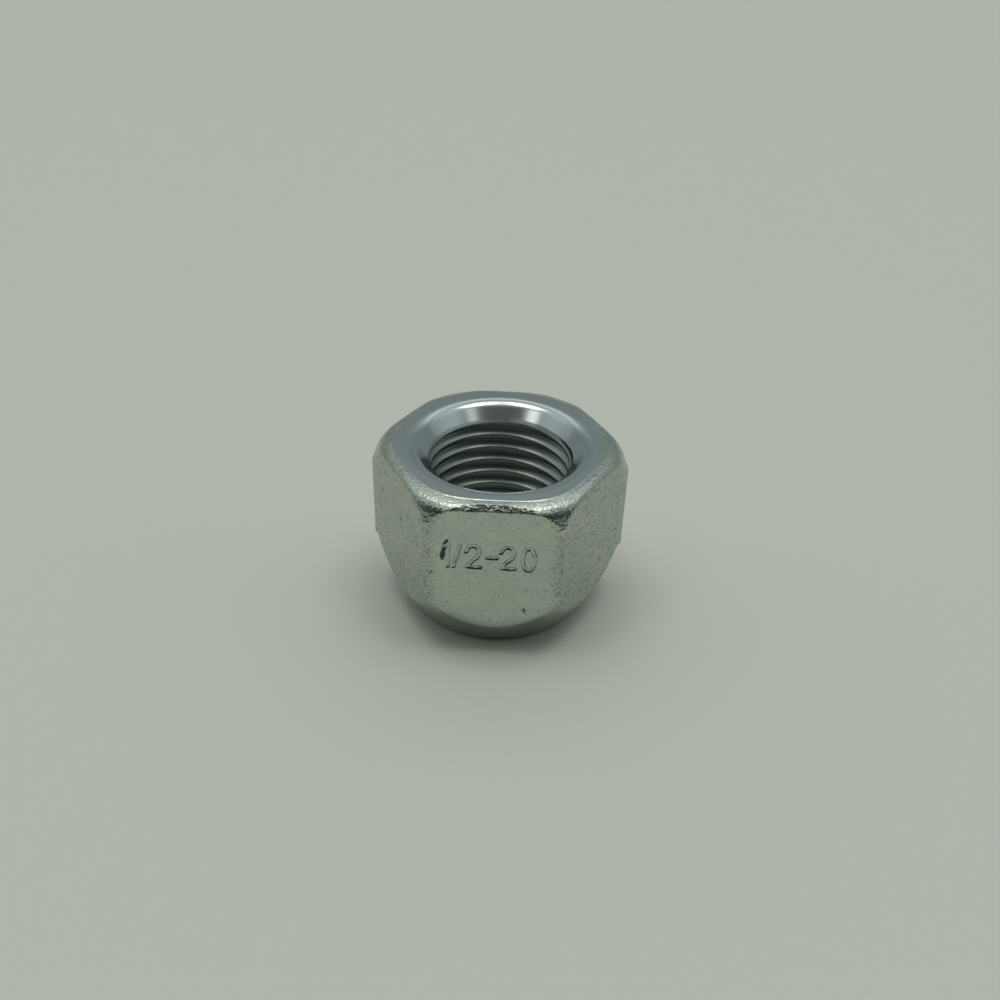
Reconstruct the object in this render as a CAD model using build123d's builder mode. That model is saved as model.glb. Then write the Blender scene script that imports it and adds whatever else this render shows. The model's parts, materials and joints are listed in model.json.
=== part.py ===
from build123d import *
from math import radians, tan
import os

# An open-ended lug nut with a conical seat, cold forged from steel in one piece.
# It stands on the small end of its seat, with the flat face of its crown on top.
# The origin is at the middle of that small end, and +Z runs up the thread.
# The dimensions are in millimetres and degrees.

# ---- the hexagon that the wrench turns ---------------------------------------------

across_flats = 18.8
height = 14.7                # from the seat end to the flat face of the crown
hex_corner_radius = 0.8      # the vertical edges, as the die leaves them

# ---- the crown ----------------------------------------------------------------------

chamfer_overhang = 0.5       # from the flats out to where the corner chamfer would meet the face
corner_chamfer_angle = 68.0  # the steep chamfer on the six corners, from the horizontal
shoulder_radius = 1.7        # the broad round shoulder between the flat face and that chamfer
crown_edge_radius = 0.6      # the rolled edge between the shoulder and the flats

# ---- the seat, a cone that centres the wheel ----------------------------------------

seat_included_angle = 60.0
seat_end_diameter = 15.3
seat_end_chamfer = 0.2       # the broken edge of the small end
seat_edge_radius = 0.9       # where the flats run out into the cone

# ---- the tapped bore, left at its minor diameter ------------------------------------

thread_minor_diameter = 11.5
rim_width = 2.2              # from the flats in to the countersink, before the edges are rolled
countersink_angle = 90.0
countersink_lip = 1.0        # the radius of its rolled lip, as a share of the countersink's depth
entry_chamfer = 0.85         # where the stud enters, at the seat end

# ---- places that follow from the dimensions -----------------------------------------

flat_distance = across_flats / 2
stock_radius = across_flats * 0.6    # just clear of the corners of the hexagon
seat_radius = seat_end_diameter / 2
seat_top = (stock_radius - seat_radius) / tan(radians(seat_included_angle / 2))
face_radius = flat_distance + chamfer_overhang
crown_foot = height - (stock_radius - face_radius) * tan(radians(corner_chamfer_angle))
countersink_radius = flat_distance - rim_width
countersink_depth = (countersink_radius - thread_minor_diameter / 2) / tan(
    radians(countersink_angle / 2)
)
wall_middle = (seat_top + crown_foot) / 2


def wall_rims(part, low, high):
    """The edges that end the upright walls of the hexagon between two heights."""
    walls = part.faces().filter_by(lambda face: abs(face.normal_at().Z) < 1e-6)
    return walls.edges().filter_by(Axis.Z, reverse=True).filter_by_position(Axis.Z, low, high)


def corner_at(sketch, distance, level):
    """The corner of a turned outline at one distance from the axis and one height."""
    return sketch.vertices().sort_by_distance((distance, level))[0]


with BuildPart() as lug_nut:
    # the hexagonal blank, with one flat square to -Y
    with BuildSketch(Plane.XY) as blank:
        RegularPolygon(radius=flat_distance, side_count=6, major_radius=False)
        fillet(blank.vertices(), radius=hex_corner_radius)
    extrude(amount=height)

    # the turned outline that the blank is held within: the seat below, the crown above
    with BuildSketch(Plane.XZ) as outline:
        with BuildLine():
            Polyline(
                (0, 0),
                (seat_radius, 0),
                (stock_radius, seat_top),
                (stock_radius, height),
                (0, height),
                close=True,
            )
        make_face()
        with BuildLine():
            Polyline(
                (0, 0),
                (stock_radius, 0),
                (stock_radius, crown_foot),
                (face_radius, height),
                (0, height),
                close=True,
            )
        make_face(mode=Mode.INTERSECT)
        chamfer(corner_at(outline, seat_radius, 0), length=seat_end_chamfer)
        fillet(corner_at(outline, face_radius, height), radius=shoulder_radius)
    revolve(axis=Axis.Z, mode=Mode.INTERSECT)

    # the edges where the flats meet the crown, and where they run out into the seat
    fillet(wall_rims(lug_nut, wall_middle, height), radius=crown_edge_radius)
    fillet(wall_rims(lug_nut, 0, wall_middle), radius=seat_edge_radius)

    # the bore, countersunk at the crown and chamfered at the seat end
    with Locations((0, 0, height)):
        CounterSinkHole(
            radius=thread_minor_diameter / 2,
            counter_sink_radius=countersink_radius,
            counter_sink_angle=countersink_angle,
        )
    crown_face = lug_nut.faces().sort_by(Axis.Z)[-1]
    fillet(crown_face.inner_wires()[0].edges(), radius=countersink_lip * countersink_depth)
    end_face = lug_nut.faces().sort_by(Axis.Z)[0]
    chamfer(end_face.inner_wires()[0].edges(), length=entry_chamfer)

lug_nut.part.label = "lug_nut"

os.makedirs("parts", exist_ok=True)
export_step(lug_nut.part, "parts/lug_nut.step")
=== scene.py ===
# %% [markdown]
# # An open-ended lug nut in bright zinc plate
# A lug nut clamps a wheel to its hub. This one is open at both ends: a stud passes right
# through it. It is cold forged, so its edges are rolled rather than cut. Then it is
# countersunk, tapped, stamped with its thread size and plated with zinc.
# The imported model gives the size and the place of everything, so it is loaded first.

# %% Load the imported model
import bpy
import bmesh
import json
import numpy as np
from math import cos, degrees, pi, radians, sin
from mathutils import Matrix, Vector, noise

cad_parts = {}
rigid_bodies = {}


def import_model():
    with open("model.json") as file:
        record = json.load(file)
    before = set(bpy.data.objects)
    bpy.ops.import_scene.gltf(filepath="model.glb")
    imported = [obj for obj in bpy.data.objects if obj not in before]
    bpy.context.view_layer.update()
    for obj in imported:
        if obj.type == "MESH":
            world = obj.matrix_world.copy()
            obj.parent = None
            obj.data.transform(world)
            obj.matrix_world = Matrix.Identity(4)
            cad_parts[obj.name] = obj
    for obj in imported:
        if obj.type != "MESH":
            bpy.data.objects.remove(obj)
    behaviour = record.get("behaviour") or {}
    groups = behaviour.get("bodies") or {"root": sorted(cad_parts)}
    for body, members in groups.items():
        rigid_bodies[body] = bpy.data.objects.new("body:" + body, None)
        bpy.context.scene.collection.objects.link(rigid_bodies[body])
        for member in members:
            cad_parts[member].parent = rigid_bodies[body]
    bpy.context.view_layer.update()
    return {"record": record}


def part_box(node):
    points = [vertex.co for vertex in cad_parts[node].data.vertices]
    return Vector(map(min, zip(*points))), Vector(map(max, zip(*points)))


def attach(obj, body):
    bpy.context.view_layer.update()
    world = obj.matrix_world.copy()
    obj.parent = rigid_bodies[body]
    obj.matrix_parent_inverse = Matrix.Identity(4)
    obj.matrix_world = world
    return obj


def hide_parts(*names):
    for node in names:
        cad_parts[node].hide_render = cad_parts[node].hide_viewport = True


for leftover in list(bpy.data.objects):
    bpy.data.objects.remove(leftover)
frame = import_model()
low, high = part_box("lug_nut")
print("the nut measures", [round(1000 * side, 2) for side in high - low], "mm")

# %% [markdown]
# The model leaves the bore plain, at the size of the tap drill, and the flats smooth. What
# is laid over a model can only stand out from it, while a thread and a stamp cut into the
# metal. So the nut is made again here as one closed mesh that keeps the model's form.
# Lengths are in millimetres until the mesh is made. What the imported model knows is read
# from it, and the rest repeats the sizes of its drawing.

# %% Sizes
width, depth, height = 1000 * (high - low)
flat = depth / 2                                       # from the axis out to each flat
corner = (flat / cos(pi / 6) - width / 2) / (1 / cos(pi / 6) - 1)
mounts = {mount["name"]: mount for mount in frame["record"]["mounts"]}
minor = mounts["thread"]["dims"]["r_mm"]               # the bore before it is tapped

face_end = flat + 0.5                                  # where the corner chamfer would meet the face
steep = radians(68)                                    # that chamfer, from the horizontal
shoulder = 1.7                                         # the round between the face and the chamfer
face_rim = face_end - shoulder * np.tan(steep / 2)     # where the face is no longer flat
crown_roll, seat_roll = 0.6, 2.0                       # the rolled edges above and below the flats
crisp_roll = 0.10                                      # the upper edge of the stamped flat
rim_width = 2.2                                        # from a flat in to the countersink
countersink = flat - rim_width
lip = countersink - minor                              # the roll of the countersink's lip
slope_lean, slope_foot = radians(40), height - 0.50    # the slope over the stamped flat
seat_end, seat_end_roll = 7.65, 0.25                   # the small end, and the edge around it
seat_lean = radians(30)                                # half of the 60 degree seat
print(f"flats {2 * flat:.2f} apart, corners rolled to {corner:.2f}, bore {2 * minor:.2f} across")

# %% [markdown]
# ## The forged outside
# A forged edge has a radius, and the radius is what catches the light, so every edge here
# is a true roll. A bevel on a plain hexagon could give one too, but not where three curved
# surfaces meet. So each surface is written as a number that is negative inside the metal
# and grows outwards in millimetres. Two surfaces are joined by keeping the larger number,
# and the edge between them is rolled with an arc.

# %% Helpers for surfaces and angles
blow_full, blow_gone = 0.48, 0.62                      # radians either side of the stamped flat's middle


def rolled(one, other, radius, turn):
    """Join two surfaces. turn is the cosine of the angle between the ways that they face."""
    reach = radius * (1 - turn)
    outside = np.hypot(np.maximum(one + reach, 0), np.maximum(other + reach, 0))
    return np.minimum(-reach, np.maximum(one, other)) + outside


def nearest_flat(angle):
    """The angle from the middle of the nearest flat; one flat is square to -Y."""
    return (angle + pi / 2 + pi / 6) % (pi / 3) - pi / 6


def ease(value, start, end):
    """0 at start, 1 at end, with a soft beginning and end."""
    t = np.clip((value - start) / (end - start), 0, 1)
    return t * t * (3 - 2 * t)


def stamped_side(angle):
    """1 over the stamped flat, which is the one square to -Y, and 0 over the others."""
    return ease(np.abs((angle + 1.5 * pi) % (2 * pi) - pi), blow_gone, blow_full)


print("a 1 mm roll takes", round(float(rolled(0.0, 0.0, 1.0, 0.0)), 3), "mm off a square edge")

# %% [markdown]
# Four things bound the forging: six flats with rolled corners, the crown, the seat, and a
# narrow slope that the blow of the stamp left between its own flat and the crown. The
# crown comes in two stages. A round shoulder drops from the face all the way round. At the
# middle of each flat that is all there is, and over the corners, which stand further out,
# a steep chamfer runs on from it.

# %% Write the surfaces
cos_sixty = 0.5                                        # both turn by 60 degrees
foot_clear = 1.0                                       # lifts the slope off the other five flats
slope_roll = 0.25                                      # the edge between the slope and its flat


def hexagon(turned, r):
    """The six flats. turned is the angle from the middle of the nearest flat."""
    nearest = r * np.cos(turned) - flat
    next_one = r * np.cos(pi / 3 - np.abs(turned)) - flat
    return rolled(nearest, next_one, corner, cos_sixty)


def crown(r, z):
    """The flat face, the round shoulder, and the steep chamfer that trims the corners."""
    trimmed = (r - face_end) * sin(steep) + (z - height) * cos(steep)
    round_off = np.hypot(r - face_rim, z - height + shoulder) - shoulder
    beside = (r > face_rim) & ((r - face_rim) * cos(steep) < (z - height + shoulder) * sin(steep))
    return np.where(beside, round_off, np.maximum(z - height, trimmed))


def seat(r, z):
    """The cone that centres the wheel, and the small end that the nut stands on."""
    cone = (r - seat_end) * cos(seat_lean) - z * sin(seat_lean)
    return rolled(cone, -z, seat_end_roll, cos_sixty)


def sides(angle, r, z):
    """The flats, with the slope over the stamped one."""
    flats = hexagon(nearest_flat(angle), r)
    foot = slope_foot + foot_clear * (1 - stamped_side(angle))
    slope = flats * cos(slope_lean) + (z - foot) * sin(slope_lean)
    return rolled(flats, slope, slope_roll, cos(slope_lean))


print("the crown turns down", round(float(face_rim), 2), "mm from the axis, and the seat opens",
      round(degrees(2 * seat_lean)), "degrees")

# %% [markdown]
# The angle at which the side meets the crown and the seat changes all the way round: it
# is nearly square at the middle of a flat and blunt at a corner. So the turn is measured
# at each point, from a small step outwards and a small step up. The upper edge of the
# stamped flat is crisp, because the blow squeezed its roll flat.

# %% Join the surfaces
crisp_above, crisp_within = height - 1.0, 0.5          # only near the crown, easing in over this


def outside(angle, r, z):
    """The whole forging, before the bore."""
    side, top, bottom, step = sides(angle, r, z), crown(r, z), seat(r, z), 1e-5
    out, up = sides(angle, r + step, z) - side, sides(angle, r, z + step) - side
    top_turn = (out * (crown(r + step, z) - top) + up * (crown(r, z + step) - top)) / step ** 2
    bottom_turn = (out * (seat(r + step, z) - bottom) + up * (seat(r, z + step) - bottom)) / step ** 2
    crisp = np.clip((z - crisp_above) / crisp_within, 0, 1) * stamped_side(angle)
    top_roll = crown_roll + (crisp_roll - crown_roll) * crisp
    return rolled(rolled(side, top, top_roll, top_turn), bottom, seat_roll, bottom_turn)


print("halfway up, the skin is", round(abs(float(outside(0.0, flat / cos(pi / 6), 9.0))), 3),
      "mm inside a sharp corner")

# %% [markdown]
# The skin is found by walking outwards from inside the metal until that number changes
# sign. The walks fan out from a point under the crown, run level down the wall, and fan
# out again above the seat, so one set of them covers the top, the side and the bottom.

# %% Find the skin
ring_top = countersink + 0.80                          # where the bore's mesh takes over
ring_bottom = 6.9
walks_high, walks_low = height - 3, 6.5                # where the upper and lower fans start
farthest, halvings = 12.0, 34                          # how far a walk looks, and how finely it closes in


def skin(around, walk):
    """r and z of the skin. walk runs from 0, straight up, to 3, straight down."""
    up, along, down = (np.clip(walk - k, 0, 1) for k in (0, 1, 2))
    angle = pi / 2 * (1 - up - down)
    start_r = ring_top + (ring_bottom - ring_top) * along
    start_z = walks_high + (walks_low - walks_high) * along
    near = np.zeros(np.broadcast(around, walk).shape)
    far = near + farthest
    for _ in range(halvings):
        middle = (near + far) / 2
        inside = outside(around, start_r + middle * np.cos(angle),
                         start_z + middle * np.sin(angle)) < 0
        near, far = np.where(inside, middle, near), np.where(inside, far, middle)
    return start_r + near * np.cos(angle), start_z + near * np.sin(angle)


print("a level walk to the stamped flat ends", round(float(skin(-pi / 2, 1.5)[0]), 3), "mm out")

# %% [markdown]
# Rows and columns of the mesh are spent where they show. One helper spaces a number of
# places by a weight. Columns crowd at the six corners and across the stamped flat. Rows
# crowd where the outline turns, across the height of the stamp, and at the rim of the
# pressed face, where there is a small step.

# %% Crowd the mesh where it matters
columns_wanted, rows_wanted = 421, 162
measured = 6                                           # every sixth column is measured for its rows
stamp_left, stamp_right, stamp_low, stamp_high = -4.4, 3.7, 8.4, 11.7
face_over_flat, more_at_corner = 8.45, 0.45            # the rim of the pressed face, from the axis


def crowded(places, weight, count):
    """count values along places, closest together where weight is largest."""
    total = np.concatenate([[0], np.cumsum((weight[1:] + weight[:-1]) / 2 * np.diff(places))])
    return np.interp(np.linspace(0, total[-1], count), total, places)


def face_edge(turned):
    """Where the pressed face ends: nearer the axis over a flat than at a corner."""
    return face_over_flat + more_at_corner * np.sin(3 * turned) ** 2


around = np.linspace(-pi / 2 - pi, pi / 2, 7201)
at_corner = np.exp(-((pi / 6 - np.abs(nearest_flat(around))) / radians(3)) ** 2)
across = flat * np.tan(np.clip(around + pi / 2, -1, 1))
at_stamp = 1 / (1 + np.exp((np.abs(across - (stamp_left + stamp_right) / 2) -
                            (stamp_right - stamp_left) / 2) / 0.15))
at_stamp *= np.abs(around + pi / 2) < 1
columns = crowded(around, 1 + 1.2 * at_corner + 5.0 * at_stamp, columns_wanted)[:-1]

walks = np.linspace(0, 3, 500)
turned = nearest_flat(columns)
r, z = skin(columns[::measured, None], walks[None, :])
run = np.hypot(np.diff(r), np.diff(z))
heading = np.unwrap(np.arctan2(np.diff(z), np.diff(r)))
bend = np.abs(np.diff(heading, append=heading[:, -1:]))
in_stamp = ((z > stamp_low) & (z < stamp_high))[:, 1:]
at_edge = np.exp(-((r - face_edge(turned[::measured, None])) / 0.07) ** 2)[:, 1:] * (z[:, 1:] > height - 0.1)
spent = run * (1 + 4.5 * in_stamp + 22.0 * at_edge) + 2.0 * bend
spent = np.pad(np.cumsum(spent, axis=1), ((0, 0), (1, 0)))
walk = np.array([np.interp(np.linspace(0, s[-1], rows_wanted), s, walks) for s in spent])
each = np.arange(len(columns))
walk = np.array([np.interp(each, each[::measured], w, period=len(columns)) for w in walk.T]).T
r, z = skin(columns[:, None], walk)
shell = np.stack([r * np.cos(columns)[:, None], r * np.sin(columns)[:, None], z], axis=-1)
print("outside:", shell.shape[0], "columns by", shell.shape[1], "rows")

# %% [markdown]
# ## The stamp
# The thread size is struck into one flat with plain figures. Text objects could be cut out
# of the flat, but a punch leaves a channel with a nearly flat floor, steep worn walls and a
# slight hollow around it, not a crisp pocket. So each figure is drawn as the line that its
# punch follows, in millimetres on the flat, and the depth at every point comes from how far
# it lies from that line.

# %% Draw the figures
figure_foot = 8.90                                     # how high on the flat the figures stand


def bow(x, z, wide, tall, start, end, steps=14):
    """Part of an oval, from one angle to another, in degrees."""
    turn = np.radians(np.linspace(start, end, steps))
    return [(x + wide * cos(a), z + tall * sin(a)) for a in turn]


def two(x, z):
    """A figure 2 with its foot starting at x, z."""
    return [(x - 0.08, z + 1.50), *bow(x + 0.49, z + 1.55, 0.47, 0.50, 170, -25),
            (x + 0.80, z + 1.02), (x + 0.40, z + 0.58), (x + 0.10, z + 0.16), (x + 0.06, z), (x + 1.06, z)]


figures = [
    [(-3.86, 10.68), (-3.53, 11.00), (-3.53, figure_foot)],
    [(-3.10, figure_foot), (-2.62, 10.90)],
    two(-2.04, figure_foot),
    [(-0.50, 9.88), (0.28, 9.88)],
    two(0.66, figure_foot),
    bow(2.78, 9.86, 0.47, 1.06, 90, 450, 40),
]
print(len(figures), "figures and strokes")

# %% [markdown]
# Slow noise wears the stamp, so that it is deeper in some places than in others. The
# lower ledge and the right wall of each channel get painted shade: a number marks them,
# and the finish darkens their colour by it.

# %% Sink the stamp
def distance_to(line, x, z):
    """How far each point lies from a line of points."""
    best = np.full(x.shape, 99.0)
    for (x0, z0), (x1, z1) in zip(line, line[1:]):
        along = ((x - x0) * (x1 - x0) + (z - z0) * (z1 - z0)) / ((x1 - x0) ** 2 + (z1 - z0) ** 2)
        along = np.clip(along, 0, 1)
        best = np.minimum(best, np.hypot(x - x0 - along * (x1 - x0), z - z0 - along * (z1 - z0)))
    return best


def stamp(x, z):
    """How deep the stamp is at each point of its flat."""
    struck = np.full(x.shape, 99.0)
    for figure in figures:
        struck = np.minimum(struck, distance_to(figure, x, z))
    worn = np.array([noise.noise(Vector((2.2 * a, 2.2 * b, 3))) for a, b in zip(x.ravel(), z.ravel())])
    worn = worn.reshape(x.shape)
    channel = (0.09 + 0.05 * worn) * ease(struck + 0.06 * worn, 0.20, 0.08)
    hollow = 0.012 * ease(struck, 0.75, 0.2)
    return channel + hollow


x, z = shell[..., 0], shell[..., 2]
on_front = (np.abs(shell[..., 1] + flat) < 0.05) & (np.abs(x) < 5.2)
stamp_depth, ledge, wall = np.zeros(x.shape), np.zeros(x.shape), np.zeros(x.shape)
fx, fz, nudge = x[on_front], z[on_front], 0.02
stamp_depth[on_front] = stamp(fx, fz)
ledge[on_front] = (stamp(fx, fz + nudge) - stamp(fx, fz - nudge)) / (2 * nudge)
wall[on_front] = (stamp(fx - nudge, fz) - stamp(fx + nudge, fz)) / (2 * nudge)
# Painted shade: darker on the lower ledge and the right wall of each channel.
soot = np.clip(0.9 * np.maximum(ledge, 0) + 0.5 * np.maximum(wall, 0), 0, 1)
print("the stamp is", round(stamp_depth.max(), 3), "mm deep")

# %% [markdown]
# ## Nicks
# Nuts are tumbled and plated in barrels, so each one carries small nicks. They could be
# drawn as bump in the finish, but the larger ones change how the edge of the light runs,
# so all are cut into the mesh. Those on the stamped flat are placed one by one, beside a
# gouge where the punch slipped, and the rest are scattered from a fixed seed.

# %% Cut the nicks
placed = [  # x, z, half width, half height, depth, lean in degrees
    (-3.72, 11.15, 0.14, 0.36, 0.14, -30), (-3.86, 10.46, 0.20, 0.13, 0.16, 0),
    (-3.94, 9.98, 0.24, 0.54, 0.13, -8), (-4.20, 11.90, 0.09, 0.09, 0.07, 0),
    (-4.90, 8.32, 0.12, 0.10, 0.08, 0), (2.70, 6.80, 0.08, 0.09, 0.08, 0),
    (4.45, 6.80, 0.11, 0.12, 0.05, 30), (2.58, 4.72, 0.16, 0.26, 0.09, 35),
    (2.76, 4.42, 0.10, 0.12, 0.06, 0), (1.47, 12.60, 0.17, 0.06, 0.05, 5),
    (-3.35, 12.90, 0.07, 0.07, 0.03, 0), (-4.20, 13.40, 0.08, 0.08, 0.04, 0),
    (-0.58, 7.95, 0.09, 0.08, 0.03, 0), (1.83, 8.05, 0.08, 0.10, 0.03, 0),
    (-1.00, 4.50, 0.06, 0.14, 0.04, 0), (-3.65, 5.28, 0.14, 0.10, 0.05, 20),
    (4.90, 8.40, 0.07, 0.06, 0.04, 0), (4.53, 11.75, 0.06, 0.10, 0.05, 0),
    (-5.25, 11.30, 0.05, 0.16, 0.05, 0), (1.05, 5.40, 0.06, 0.09, 0.04, 0),
    (1.38, 5.38, 0.09, 0.05, 0.04, 0), (0.20, 5.42, 0.07, 0.07, 0.03, 0),
    (0.15, 5.92, 0.16, 0.04, 0.03, 0), (1.20, 11.55, 0.08, 0.07, 0.03, 0),
    (-1.58, 11.65, 0.09, 0.08, 0.03, 0), (-2.40, 9.45, 0.08, 0.07, 0.03, 0),
]
nick_depth = np.zeros(x.shape)
for nx, nz, wide, tall, deep, lean in placed:
    a = radians(lean)
    across, up = (x - nx) * cos(a) + (z - nz) * sin(a), (z - nz) * cos(a) - (x - nx) * sin(a)
    inside_nick = np.where(on_front, np.hypot(across / wide, up / tall), 9.0)
    nick_depth = np.maximum(nick_depth, deep * ease(inside_nick, 1.25, 0.45))

scattered = 70
chance = np.random.default_rng(20)
for _ in range(scattered):
    c, k = chance.integers(0, len(columns)), chance.integers(12, rows_wanted - 30)
    middle = shell[c, k]
    if middle[1] < -flat + 0.7:
        continue
    away = np.linalg.norm(shell - middle, axis=-1)
    reach, deep = chance.uniform(0.12, 0.34), chance.uniform(0.02, 0.06)
    nick_depth = np.maximum(nick_depth, deep * ease(away, reach, 0.3 * reach))
print("deepest nick", round(nick_depth.max(), 3), "mm")

# %% [markdown]
# The die leaves slow waves a few microns high, which make reflections wander, and the
# pressed face stands a hair above the shoulder around it. Both move the skin along its own
# direction. A number called grain says how rough each spot stays: full on the flats as
# forged, about half on the flat that the stamp pressed, less on the crown, and nearly
# none on the seat and the pressed face.

# %% Move the skin and mark its grain
def outside_at(point):
    return outside(np.arctan2(point[..., 1], point[..., 0]),
                   np.hypot(point[..., 0], point[..., 1]), point[..., 2])


step = 1e-4
normal = np.stack([outside_at(shell + step * axis) - outside_at(shell - step * axis)
                   for axis in np.eye(3)], axis=-1)
normal /= np.linalg.norm(normal, axis=-1, keepdims=True)

out = np.hypot(shell[..., 0], shell[..., 1])
on_face = ease(z, height - 0.05, height - 0.001)
on_crown = ease(crown(out, z) - sides(columns[:, None], out, z), -0.15, 0.05)
on_seat = ease(seat(out, z) - hexagon(turned[:, None], out), -0.15, 0.12)
pressed = ease(np.abs((columns + 1.5 * pi) % (2 * pi) - pi), 0.52, 0.42)[:, None]
edge = face_edge(turned)[:, None]
grain = (1 - 0.72 * on_crown) * (1 - 0.55 * pressed * (1 - on_crown)) * (1 - 0.85 * on_seat)
grain *= 1 - 0.85 * ease(z, height - 0.12, height - 0.06) * ease(out, edge + 0.06, edge - 0.04)

# Waves 6 microns high some 2 mm apart, with others a quarter as high and as far apart.
waves = np.array([[0.006 * noise.noise(Vector(p) * 0.45) + 0.0016 * noise.noise(Vector(p) * 1.9)
                   for p in column] for column in shell])
sunk, face_step = 0.008, 0.035                         # keeps the waves inside the model; the face's step
waves = (waves - sunk) * (1 - on_face) * (z > 0.05)
step_down = face_step * ease(out, edge - 0.045, edge + 0.045) * ease(z, height - 0.25, height - 0.1)
shell = shell + normal * (waves - stamp_depth - nick_depth - step_down)[..., None]
# Painted shade in the hollows of the nicks as well.
soot = np.clip(soot + ease(nick_depth, 0.02, 0.09), 0, 1)
print("the waves reach", round(-1000 * waves.min(), 1), "microns under the drawn skin")

# %% [markdown]
# ## The bore
# The thread is 1/2 inch with 20 turns to the inch: a 60 degree thread of 1.27 mm pitch and
# 12.7 mm across its roots. A screw modifier could sweep it, but would leave open ends. Here
# its rows follow the helix, so that each crest is one clean line. Where the helix would run
# past either end its rows are held at that end, and the points that fall together there
# are merged later. The thread fades out under the countersink, as a tapped one does.

# %% Cut the thread
pitch, major = 25.4 / 20, 12.7 / 2
half_form = [(0.00, 0.000), (0.06, 0.006), (0.11, 0.022), (0.16, 0.055), (0.22, 0.14), (0.46, 0.52),
             (0.51, 0.575), (0.57, 0.60)]              # along the axis, into the metal
form = half_form + [(pitch - along, into) for along, into in reversed(half_form[1:])]
bore_columns = 144
thread_top, thread_bottom = height - 1.0, 0.2
entry = minor + 0.85                                   # the lead-in at the seat end
first_down, fade_from, fade_to = 2.79, 1.0, 1.6        # depths of the first crest and of the fading out
turn = np.arange(bore_columns) / bore_columns
first = height - first_down - pitch / 4
turns = int((height + 4) / pitch)

bore = []
for k in range(-2, turns):
    for along, into in form:
        level = first + pitch * (2 + turn) - (k * pitch + along)
        held = np.clip(level, thread_bottom, thread_top)
        whole = ease(height - held, fade_from, fade_to)
        cut = np.maximum(minor + into * whole, countersink - (height - held))
        cut = np.maximum(cut, entry - held)
        bore.append(np.stack([cut * np.cos(2 * pi * turn), cut * np.sin(2 * pi * turn), held], -1))
bore = np.array(bore)
print("bore:", len(bore), "rows by", bore_columns, "columns")

# %% [markdown]
# The countersink above the thread and the lead-in below it are turned, so their rows are
# plain circles. They end on the flat faces, a little inside the first row of the outside.
# The countersink's upper edge rolls over into the face, and the light runs along that roll.

# %% Turn the countersink and the lead-in
foot = lip * np.tan(pi / 8)
roll_over = [(countersink + foot + lip * cos(a), height - lip + lip * sin(a))
             for a in np.radians(np.linspace(90, 135, 16))]
cone = [(countersink - d, height - d) for d in (0.5, 0.65, 0.8, 0.9)]
lead_in = [(entry - 0.1, 0.1), (entry, 0.0), (entry + 0.05, 0.0)]


def circles(profile):
    """A ring of points for each r, z pair."""
    return np.array([np.stack([r * np.cos(2 * pi * turn), r * np.sin(2 * pi * turn),
                               np.full(bore_columns, z)], -1) for r, z in profile])


above, below = circles(roll_over + cone), circles(lead_in)
print("countersink:", len(above), "circles, lead-in:", len(below))

# %% [markdown]
# ## One closed mesh
# Four grids make the nut: the outside, the countersink, the thread and the lead-in. Each
# becomes faces of four corners. Two grids that meet need not have the same number of
# points, so the ring between them is bridged with triangles.

# %% Turn grids into faces
def strip(rows, across, start, wrap):
    """Faces of a grid of rows whose last column meets the first, wrap rows further up."""
    here = np.arange(rows * across).reshape(rows, across)
    lifted = np.maximum(np.arange(rows) - wrap, 0)
    right = np.concatenate([here[:, 1:], here[lifted, :1]], axis=1)
    quads = np.stack([here[:-1], here[1:], right[1:], right[:-1]], axis=-1)
    return (quads + start).reshape(-1, 4).tolist()


def zipped(one, other, points):
    """Triangles between two rings of points, each taken in order of its angle."""
    rings = []
    for ring in (one, other):
        angle = [np.arctan2(points[k][1], points[k][0]) % (2 * pi) for k in ring]
        order = np.argsort(angle)
        rings.append([(angle[k], ring[k]) for k in order] + [(angle[order[0]] + 2 * pi, ring[order[0]])])
    here, there = rings
    i = j = 0
    while i < len(here) - 1 or j < len(there) - 1:
        if j == len(there) - 1 or i < len(here) - 1 and here[i + 1][0] <= there[j + 1][0]:
            yield here[i][1], here[i + 1][1], there[j][1]
            i += 1
        else:
            yield here[i][1], there[j + 1][1], there[j][1]
            j += 1


grids = [(shell.transpose(1, 0, 2), 0), (above, 0), (bore, len(form)), (below, 0)]
points, faces, first_row, last_row = [], [], [], []
for grid, wrap in grids:
    rows, across = grid.shape[:2]
    faces += strip(rows, across, len(points), wrap)
    first_row.append(range(len(points), len(points) + across))
    points += list(grid.reshape(-1, 3) / 1000)
    last_row.append(range(len(points) - across, len(points)))
for one, other in ((first_row[0], first_row[1]), (last_row[1], first_row[2]),
                   (last_row[2], first_row[3]), (last_row[3], last_row[0])):
    faces += zipped(one, other, points)
print(len(points), "points and", len(faces), "faces")

# %% [markdown]
# The painted shade and the grain are stored on the points, where the finish can read them.
# Blender merges the points that fell together and turns every face out. Then each face is
# given one of three surfaces: as forged, turned, or tapped. Last, the mesh is checked: a real
# nut has no holes in its skin, so the number of open edges has to be 0.

# %% Make the mesh
mesh = bpy.data.meshes.new("lug_nut_plated")
mesh.from_pydata(points, [], faces)
outside_points = shell.shape[0] * shell.shape[1]
for name, values in (("soot", soot), ("grain", grain)):
    spread = np.zeros(len(points), np.float32)
    spread[:outside_points] = values.T.ravel()
    mesh.attributes.new(name, "FLOAT", "POINT").data.foreach_set("value", spread)

work = bmesh.new()
work.from_mesh(mesh)
bmesh.ops.remove_doubles(work, verts=work.verts, dist=1e-7)
bmesh.ops.recalc_face_normals(work, faces=work.faces)

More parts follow.
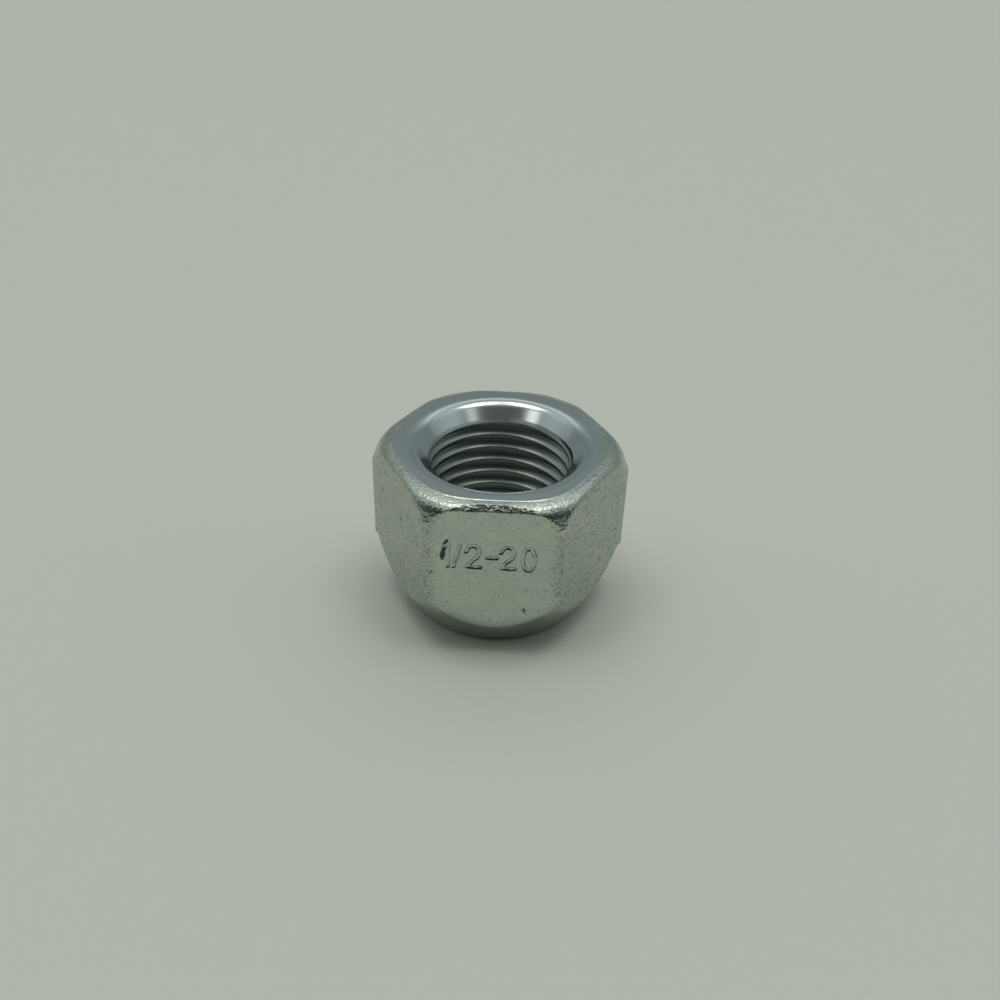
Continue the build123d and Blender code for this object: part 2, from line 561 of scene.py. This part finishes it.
forged, machined, tapped = 0, 1, 2
forged_from = (flat - 0.8) / 1000                      # further out than this all is as forged
turned_above, turned_below = (height - 1.7) / 1000, 0.0009
for face in work.faces:
    middle = face.calc_center_median()
    r = middle.xy.length
    face.smooth = True
    if r > forged_from or middle.z < 0.0001:
        face.material_index = forged
    elif middle.z > turned_above and r > (minor + 0.25) / 1000 \
            or middle.z < turned_below and r > (minor + 0.1) / 1000:
        face.material_index = machined
    else:
        face.material_index = tapped if r < (major + 0.05) / 1000 else forged
print("open edges:", sum(e.is_boundary for e in work.edges),
      "triangles:", sum(len(f.verts) - 2 for f in work.faces),
      "volume:", round(work.calc_volume() * 1e9), "cubic mm")
work.to_mesh(mesh)
work.free()

nut = bpy.data.objects.new("plated_nut", mesh)
bpy.context.scene.collection.objects.link(nut)
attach(nut, "root")
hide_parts("lug_nut")

# %% [markdown]
# ## The finish
# Bright zinc plate is a slightly blue metal coat a few microns thick, so it takes the
# shape of what lies under it. The finish could be painted by hand, but noise made in the
# shader has a real size and no seams. Three layers of it do the work: wide patches
# shift the tint, because a barrel plates unevenly and hands dull the coat; small dark
# specks are pits that the cleaned scale left, and the painted shade from the mesh darkens
# the colour the same way; and a fine bump gives the pebbled grain. The grain number turns
# the specks and the bump down where a tool has touched the metal. One function adds a node
# with its settings and links.

# %% Helpers for colours and nodes
def linear(code):
    """An sRGB hex colour as linear red, green, blue and alpha."""
    parts = [int(code[k:k + 2], 16) / 255 for k in (0, 2, 4)]
    return [p / 12.92 if p <= 0.04045 else ((p + 0.055) / 1.055) ** 2.4 for p in parts] + [1.0]


def add(tree, kind, settings, links):
    """A node with its settings, and its inputs joined to the sockets that feed them."""
    node = tree.nodes.new(kind)
    for name, value in settings.items():
        if isinstance(name, int) or name in node.inputs:
            node.inputs[name].default_value = value
        else:
            setattr(node, name, value)
    for name, socket in links.items():
        tree.links.new(socket, node.inputs[name])
    return node


print("mid grey, 808080, is", round(linear("808080")[0], 3), "in linear light")

# %% [markdown]
# Zinc is a metal, so Metallic is 1 and the base colour is the colour of its reflection,
# a light blue-green grey. A roughness near 0.2 is typical for a bright plate; the thread
# is rougher, because the tap tears the steel and the plate is thin so deep in a bore.

# %% Zinc plate
speck_to_grain = 1.3                                   # the pits are a little wider than the grain


def zinc(name, roughness, colours, grain, grain_height, mottle):
    """Bright zinc plate. colours are two tints and the pits, whose colour also serves the painted shade; the
    sizes are in millimetres.
    """
    material = bpy.data.materials.new(name)
    material.use_nodes = True
    tree = material.node_tree
    tree.nodes.clear()
    place = add(tree, "ShaderNodeTexCoord", {}, {}).outputs["Object"]
    rough = add(tree, "ShaderNodeAttribute", {"attribute_name": "grain"}, {}).outputs["Fac"]
    patches = add(tree, "ShaderNodeTexNoise", {"Scale": 1000 / mottle, "Detail": 4.0, "Roughness": 0.6},
                  {"Vector": place})
    tint = add(tree, "ShaderNodeMix",
               {"data_type": "RGBA", 6: linear(colours[0]), 7: linear(colours[1])},
               {"Factor": patches.outputs["Fac"]})
    specks = add(tree, "ShaderNodeTexNoise",
                 {"Scale": 1000 / grain / speck_to_grain, "Detail": 2.0, "Roughness": 0.7},
                 {"Vector": place})
    pitted = add(tree, "ShaderNodeMapRange", {"From Min": 0.46, "From Max": 0.33, "To Max": 0.55},
                 {"Value": specks.outputs["Fac"]})
    # The painted shade from the mesh darkens the colour towards the pit colour, as the pits do.
    soot = add(tree, "ShaderNodeAttribute", {"attribute_name": "soot"}, {}).outputs["Fac"]
    how_pitted = add(tree, "ShaderNodeMath", {"operation": "MULTIPLY_ADD"},
                     {0: pitted.outputs["Result"], 1: rough, 2: soot})
    skin_colour = add(tree, "ShaderNodeMix", {"data_type": "RGBA", 7: linear(colours[2])},
                      {"Factor": how_pitted.outputs["Value"], 6: tint.outputs[2]})
    fine = add(tree, "ShaderNodeTexNoise", {"Scale": 1000 / grain, "Detail": 3.0}, {"Vector": place})
    bump = add(tree, "ShaderNodeBump", {"Distance": grain_height / 1000},
               {"Height": fine.outputs["Fac"], "Strength": rough})
    metal = add(tree, "ShaderNodeBsdfPrincipled", {"Metallic": 1.0, "Roughness": roughness},
                {"Base Color": skin_colour.outputs[2], "Normal": bump.outputs["Normal"]})
    add(tree, "ShaderNodeOutputMaterial", {}, {"Surface": metal.outputs["BSDF"]})
    return material


# Zinc over steel as forged, pickled clean: a soft glitter with dark pits. The real pits are
# 0.05 to 0.1 mm wide, too fine to show from here, so they are drawn 0.25 mm wide.
# Its pit colour also darkens the stamp's channels and the nicks, as painted shade.
mesh.materials.append(zinc("bright_zinc_on_forged_steel", 0.22, ("a8b8b4", "d2d6c6", "485250"),
                           0.25, 0.24, 1.6))
# Zinc over turned and pressed steel: calm, wide reflections. The feed of the tool, 0.1 mm,
# is nearly filled by the plate, so only a faint grain of about that size is left.
mesh.materials.append(zinc("bright_zinc_on_turned_steel", 0.20, ("bec8c8", "c4cecc", "a0a8a8"),
                           0.12, 0.02, 2.0))
# Zinc over tapped steel: duller, so that each crest shows one soft line of light.
mesh.materials.append(zinc("bright_zinc_in_the_thread", 0.32, ("9ea8a3", "a8b0aa", "8c9490"),
                           0.15, 0.02, 2.0))
print("finishes:", [material.name for material in mesh.materials])

# %% [markdown]
# ## The studio
# The nut stands on a wide sheet of pale card. A real backdrop sweeps up behind, but the
# sheet alone fills the view from above. Card is matt, with hardly any sheen, so what the
# eye gets from it is an even ground and a soft shadow that tells where the nut touches.

# %% Lay the floor
scene = bpy.context.scene
scene.view_settings.view_transform = "Standard"

floor_mesh = bpy.data.meshes.new("floor")
reach = 1.5
floor_mesh.from_pydata([(-reach, -reach, 0), (reach, -reach, 0), (reach, reach, 0), (-reach, reach, 0)],
                       [], [(0, 1, 2, 3)])
floor = bpy.data.objects.new("floor", floor_mesh)
scene.collection.objects.link(floor)
# Uncoated card, pressed smooth: it spreads light evenly and shows no highlight.
card = bpy.data.materials.new("matt_card")
card.use_nodes = True
sheen = card.node_tree.nodes["Principled BSDF"]
sheen.inputs["Base Color"].default_value = linear("e0e4d9")
sheen.inputs["Roughness"].default_value = 0.9
sheen.inputs["Specular IOR Level"].default_value = 0.1
floor_mesh.materials.append(card)
print("the floor is", 2 * reach, "m wide")

# %% [markdown]
# Metal shows what surrounds it, so the lamps are shaped by what the nut should reflect.
# A long window behind it draws bright lines along the edges of the crown. Two high lamps
# and an overhead one light the floor and the slopes. Two small lamps at the sides, in
# front, put the bright patches into the countersink, each on the side away from it. Two
# faint walls fill the sides. Nothing shines from straight in front, so the slopes that
# face that way stay dark. Spot lamps would be simpler, but give hard small highlights.

# %% Hang the lamps
nut_middle = Vector((0, 0, height / 2000))


def towards(azimuth, elevation):
    """A direction. Azimuth 0 is behind the nut, 180 is in front, 90 is to its right."""
    a, e = radians(azimuth), radians(elevation)
    return Vector((sin(a) * cos(e), cos(a) * cos(e), sin(e)))


def softbox(name, azimuth, elevation, wide, tall, brightness, colour, away=2.0):
    """A flat lamp that looks at the nut. Sizes are in metres; a brightness of 1 shows as white."""
    lamp = bpy.data.lights.new(name, "AREA")
    lamp.shape, lamp.size, lamp.size_y = "RECTANGLE", wide, tall
    lamp.energy = brightness * pi * wide * tall
    lamp.color = linear(colour)[:3]
    holder = bpy.data.objects.new(name, lamp)
    holder.location = nut_middle + towards(azimuth, elevation) * away
    holder.rotation_mode = "QUATERNION"
    holder.rotation_quaternion = (holder.location - nut_middle).to_track_quat("Z", "Y")
    scene.collection.objects.link(holder)


softbox("window_behind", 0, 50, 2.2, 0.30, 0.50, "f4f8ff")
softbox("overhead", 0, 86, 1.8, 0.60, 0.3, "fffdf8")
softbox("high_left", -85, 76, 0.7, 0.70, 3.0, "fffdf8")
softbox("high_right", 85, 76, 0.7, 0.70, 3.0, "fffdf8")
softbox("side_left", -122, 53, 0.40, 0.40, 1.6, "fffdf6")
softbox("side_right", 122, 53, 0.34, 0.40, 0.8, "fffdf6")
softbox("wall_left", -80, 38, 1.4, 0.90, 0.16, "f4fbff")
softbox("wall_right", 80, 38, 1.4, 0.90, 0.16, "f4fbff")
print("lamps:", len(bpy.data.lights))

# %% [markdown]
# Between the lamps the nut reflects the room. Behind it are plain grey walls that grow
# lighter towards the ceiling; in front it is dark, where whoever looks at it stands. An
# panorama of a room could do this, but two ramps over the height of the view, blended from
# front to back, are all that so small a thing shows.

# %% Surround it with a plain room
behind_stops = ((0.0, "8d9494"), (0.26, "868c8e"), (0.53, "868c8e"), (0.58, "98a2a2"), (0.66, "a0a8a8"),
                (0.77, "c4cacb"), (0.87, "c8cccc"), (0.915, "989c9c"), (0.96, "a4a8a8"), (1.0, "e6e8e6"))
in_front_stops = ((0.0, "262a2a"), (0.5, "303434"), (0.86, "484848"), (0.93, "787a76"), (1.0, "e6e8e6"))

world = bpy.data.worlds.new("plain_room")
scene.world = world
world.use_nodes = True
air = world.node_tree
air.nodes.clear()
look = add(air, "ShaderNodeTexCoord", {}, {}).outputs["Generated"]
split = add(air, "ShaderNodeSeparateXYZ", {}, {"Vector": look})
behind = add(air, "ShaderNodeValToRGB", {}, {"Fac": split.outputs["Z"]})
in_front = add(air, "ShaderNodeValToRGB", {}, {"Fac": split.outputs["Z"]})
for ramp, stops in ((behind, behind_stops), (in_front, in_front_stops)):
    while len(ramp.color_ramp.elements) < len(stops):
        ramp.color_ramp.elements.new(0.5)
    for element, (position, colour) in zip(ramp.color_ramp.elements, stops):
        element.position, element.color = position, linear(colour)
side = add(air, "ShaderNodeMapRange",
           {"From Min": -0.55, "From Max": 0.1, "interpolation_type": "SMOOTHSTEP"},
           {"Value": split.outputs["Y"]})
tone = add(air, "ShaderNodeMix", {"data_type": "RGBA"},
           {0: side.outputs["Result"], 6: in_front.outputs["Color"], 7: behind.outputs["Color"]})
glow = add(air, "ShaderNodeBackground", {"Strength": 1.0}, {"Color": tone.outputs[2]})
add(air, "ShaderNodeOutputWorld", {}, {"Surface": glow.outputs["Background"]})
print("the room has", len(behind_stops), "tones behind and", len(in_front_stops), "in front")

# %% [markdown]
# ## The camera
# The nut is seen from a hand's width away and a third of the way up, turned a little, as
# one looks at a small thing on a table. A hand-held camera is never quite level, so it is
# rolled slightly. The camera is placed by turning it in steps about the point it looks at.

# %% Place the camera
lens = bpy.data.cameras.new("camera")
lens.sensor_width, lens.lens = 36.0, 38.41
lens.clip_start, lens.clip_end = 0.005, 10.0
camera = bpy.data.objects.new("camera", lens)
scene.collection.objects.link(camera)
scene.camera = camera
turn_round, elevation, roll, away = radians(1.79), radians(34.22), radians(1.745), 0.09111
aim = Matrix.Rotation(turn_round, 4, "Z") @ Matrix.Translation((0.000102, 0, 0.008995))
camera.matrix_world = (aim @ Matrix.Rotation(pi / 2 - elevation, 4, "X")
                       @ Matrix.Rotation(roll, 4, "Z") @ Matrix.Translation((0, 0, away)))
print("the camera is", round(1000 * away), "mm away and looks down", round(degrees(elevation)), "degrees")
